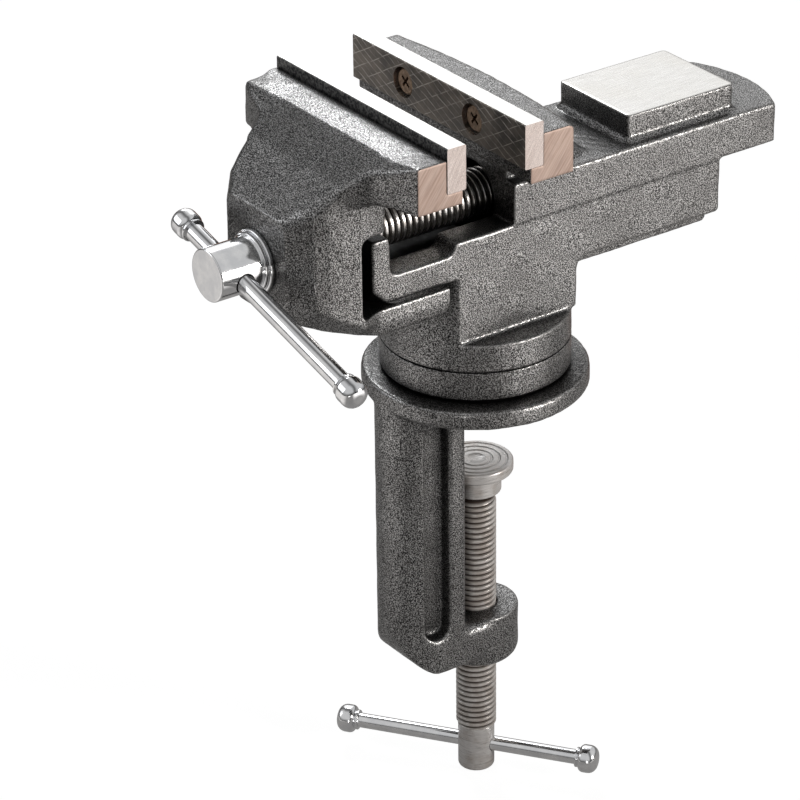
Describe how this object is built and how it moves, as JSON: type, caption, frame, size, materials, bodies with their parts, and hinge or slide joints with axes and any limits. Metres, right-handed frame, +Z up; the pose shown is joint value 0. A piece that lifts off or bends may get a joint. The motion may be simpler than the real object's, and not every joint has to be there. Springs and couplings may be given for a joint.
{
  "type": "clamp-on swivel vise",
  "caption": "Small cast table vise that turns on a round flange, with a C-shaped clamp frame for a table edge, flat jaw plates, an anvil table and sliding bars through both screws.",
  "frame": {"origin": "on the swivel axis, on the underside of the base flange, which is the face that sits on the table top", "axes": "+Z up along the swivel axis; -Y towards the head of the lead screw; +Y towards the anvil; +X towards the side with the open rail seen in the picture"},
  "size_m": [0.1008, 0.1883, 0.2269],
  "materials": {
    "cast_paint": "dark grey hammered paint on a casting",
    "ground_steel": "ground steel",
    "screw_steel": "browned steel",
    "polished_steel": "polished bright steel",
    "turned_steel": "bare turned steel",
    "black_steel": "blackened steel",
    "nut_brass": "turned brass"
  },
  "bodies": {
    "frame": {"clamp_frame": "cast_paint", "swivel_ring": "cast_paint", "pivot_bolt": "black_steel", "pivot_washer": "black_steel"},
    "vise_body": {"fixed_body": "cast_paint", "rear_jaw_plate": "ground_steel", "rear_jaw_screws": "screw_steel", "lead_nut": "nut_brass", "lead_nut_screw": "black_steel"},
    "swivel_lock": {"swivel_lock_screw": "turned_steel", "swivel_lock_bar": "polished_steel"},
    "moving_jaw": {"movable_jaw": "cast_paint", "front_jaw_plate": "ground_steel", "front_jaw_screws": "screw_steel", "guide_bar": "black_steel", "guide_bar_pins": "turned_steel", "lead_washer": "polished_steel"},
    "lead_spindle": {"lead_screw": "polished_steel", "lead_collar": "turned_steel", "lead_collar_pin": "turned_steel"},
    "lead_bar": {"lead_tbar": "polished_steel", "lead_tbar_ends": "polished_steel"},
    "pad": {"clamp_pad": "turned_steel"},
    "clamp_spindle": {"clamp_screw": "turned_steel"},
    "clamp_bar": {"clamp_tbar": "polished_steel", "clamp_tbar_ends": "polished_steel"}
  },
  "joints": [
    {"name": "body_swivel", "type": "hinge", "parent": "frame", "child": "vise_body", "pos_m": [0, 0, 0.0155], "axis": [0, 0, 1], "continuous": true},
    {"name": "lock_turn", "type": "hinge", "parent": "vise_body", "child": "swivel_lock", "pos_m": [-0.0372, 0, 0.0194], "axis": [1, 0, 0], "range_deg": [-360, 0]},
    {"name": "jaw_slide", "type": "slide", "parent": "vise_body", "child": "moving_jaw", "axis": [0, 1, 0], "range_m": [-0.024, 0.0196]},
    {"name": "lead_screw_turn", "type": "hinge", "parent": "moving_jaw", "child": "lead_spindle", "pos_m": [0, -0.0736, 0.0588], "axis": [0, 1, 0], "range_deg": [-4330, 3540]},
    {"name": "lead_bar_slide", "type": "slide", "parent": "lead_spindle", "child": "lead_bar", "axis": [0.9703, 0, -0.2419], "range_m": [-0.045, 0.009]},
    {"name": "clamp_slide", "type": "slide", "parent": "frame", "child": "pad", "axis": [0, 0, 1], "range_m": [-0.037, 0.025]},
    {"name": "clamp_screw_turn", "type": "hinge", "parent": "pad", "child": "clamp_spindle", "pos_m": [0, 0, -0.032], "axis": [0, 0, 1], "range_deg": [-7700, 5150]},
    {"name": "clamp_bar_slide", "type": "slide", "parent": "clamp_spindle", "child": "clamp_bar", "axis": [0.8111, 0.585, 0], "range_m": [-0.0255, 0.031]}
  ],
  "couplings": [
    {"joint": "lead_screw_turn", "follows": "jaw_slide", "rad_per_m": 3141.6},
    {"joint": "clamp_screw_turn", "follows": "clamp_slide", "rad_per_m": 3590.4}
  ]
}
